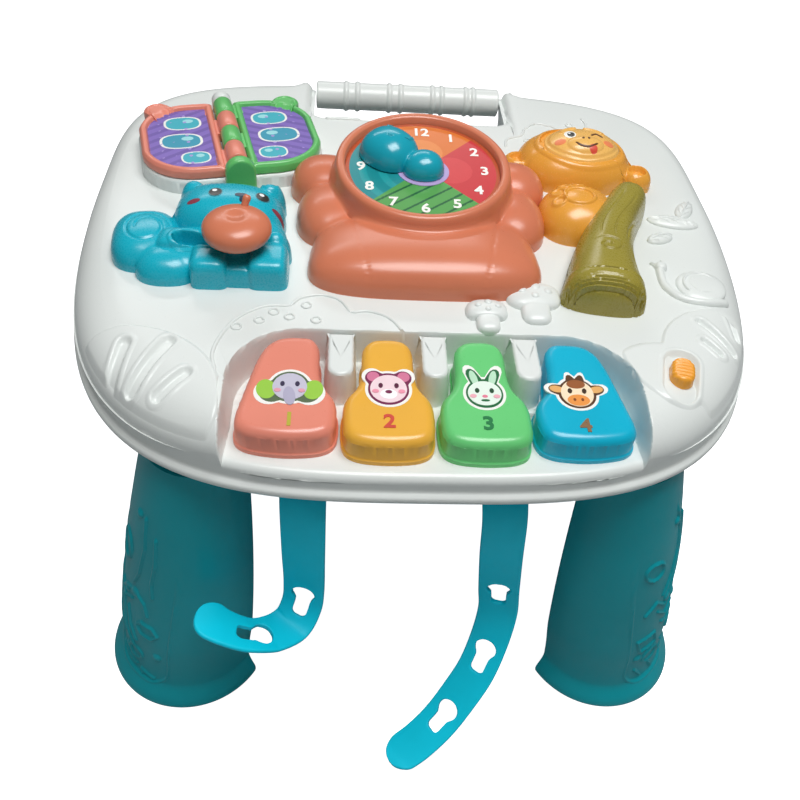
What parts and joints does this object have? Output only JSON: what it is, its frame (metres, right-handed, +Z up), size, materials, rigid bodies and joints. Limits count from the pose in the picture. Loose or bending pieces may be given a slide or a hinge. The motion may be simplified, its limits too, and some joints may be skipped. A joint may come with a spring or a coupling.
{
  "type": "musical activity table",
  "caption": "Low play table on splayed hollow legs with a short keyboard, clock, turning book pages, sliding apple, press button, carry handle and hanging tie straps.",
  "frame": {"origin": "centre of the whole object's box, on the floor", "axes": "+X to the right seen from the keyboard side, +Y away from the keyboard towards the handle, +Z up"},
  "size_m": [0.286, 0.3075, 0.2058],
  "materials": {
    "white_plastic": "satin gloss moulded plastic",
    "teal_plastic": "glossy moulded plastic",
    "coral_plastic": "glossy moulded plastic",
    "squirrel_teal": "glossy moulded plastic",
    "amber_plastic": "satin moulded plastic",
    "face_plastic": "translucent moulded plastic",
    "olive_plastic": "glossy moulded plastic",
    "key_coral_plastic": "high gloss plastic",
    "key_yellow_plastic": "high gloss plastic",
    "green_plastic": "high gloss plastic",
    "key_blue_plastic": "high gloss plastic",
    "switch_orange": "satin plastic",
    "hand_teal": "high gloss plastic",
    "dial_print": "printed card, satin",
    "book_print": "printed card, satin",
    "strap_rubber": "soft moulded rubber",
    "steel": "bright steel",
    "board": "coated board",
    "speaker_black": "dark frame and cone",
    "dome_rubber": "soft moulded rubber",
    "cell_wrap": "printed sleeve, plain"
  },
  "bodies": {
    "table": {"top_shell": "white_plastic", "base_shell": "teal_plastic", "leg_front_left": "teal_plastic", "leg_front_right": "teal_plastic", "leg_rear_left": "teal_plastic", "leg_rear_right": "teal_plastic", "carry_handle": "white_plastic", "clock_housing": "coral_plastic", "clock_dial": "dial_print", "clock_axle": "steel", "book_base": "white_plastic", "book_pin": "steel", "hinge_clip": "green_plastic", "squirrel": "squirrel_teal", "monkey_head": "amber_plastic", "button_spring": "steel", "monkey_hand": "amber_plastic", "tree_trunk": "olive_plastic", "key_rod": "steel", "strap_left": "strap_rubber", "strap_right": "strap_rubber", "strap_studs": "teal_plastic", "circuit_board": "board", "key_domes": "dome_rubber", "speaker": "speaker_black", "battery_door": "teal_plastic", "batteries": "cell_wrap", "battery_contacts": "steel", "base_screws": "steel"},
    "key_coral": {"key_coral": "key_coral_plastic"},
    "key_yellow": {"key_yellow": "key_yellow_plastic"},
    "key_green": {"key_green": "green_plastic"},
    "key_blue": {"key_blue": "key_blue_plastic"},
    "page_left": {"page_left": "coral_plastic", "picture_left": "book_print"},
    "page_right": {"page_right": "green_plastic", "picture_right": "book_print"},
    "clock_hand": {"clock_hand": "hand_teal"},
    "apple": {"apple_slider": "coral_plastic"},
    "switch": {"switch_knob": "switch_orange"},
    "face_button": {"face_button": "face_plastic"}
  },
  "joints": [
    {"name": "key_coral_press", "type": "hinge", "parent": "table", "child": "key_coral", "pos_m": [0.0035, -0.05215, 0.1635], "axis": [1, 0, 0], "range_deg": [0, 4.5], "stiffness_Nm_per_rad": 1.2, "springref_deg": -6.88},
    {"name": "key_yellow_press", "type": "hinge", "parent": "table", "child": "key_yellow", "pos_m": [0.0035, -0.05215, 0.1635], "axis": [1, 0, 0], "range_deg": [0, 4.5], "stiffness_Nm_per_rad": 1.2, "springref_deg": -6.88},
    {"name": "key_green_press", "type": "hinge", "parent": "table", "child": "key_green", "pos_m": [0.0035, -0.05215, 0.1635], "axis": [1, 0, 0], "range_deg": [0, 4.5], "stiffness_Nm_per_rad": 1.2, "springref_deg": -6.88},
    {"name": "key_blue_press", "type": "hinge", "parent": "table", "child": "key_blue", "pos_m": [0.0035, -0.05215, 0.1635], "axis": [1, 0, 0], "range_deg": [0, 4.5], "stiffness_Nm_per_rad": 1.2, "springref_deg": -6.88},
    {"name": "page_left_turn", "type": "hinge", "parent": "table", "child": "page_left", "pos_m": [-0.083, 0.06285, 0.1845], "axis": [-0.2334, 0.9724, 0], "range_deg": [0, 176]},
    {"name": "page_right_turn", "type": "hinge", "parent": "table", "child": "page_right", "pos_m": [-0.083, 0.06285, 0.1845], "axis": [-0.2334, 0.9724, 0], "range_deg": [-176, 0]},
    {"name": "clock_hand_spin", "type": "hinge", "parent": "table", "child": "clock_hand", "pos_m": [0.0025, 0.02385, 0.192], "axis": [0, -0.0958, 0.9954], "continuous": true},
    {"name": "apple_slide", "type": "slide", "parent": "table", "child": "apple", "axis": [-0.9976, 0.0698, 0], "range_m": [0, 0.022]},
    {"name": "switch_slide", "type": "slide", "parent": "table", "child": "switch", "axis": [0.2588, 0.9659, 0], "range_m": [-0.005, 0.005]},
    {"name": "face_button_press", "type": "slide", "parent": "table", "child": "face_button", "axis": [0, 0, -1], "range_m": [0, 0.002], "stiffness_N_per_m": 250, "springref_m": -0.003, "deforming": ["button_spring"]}
  ]
}
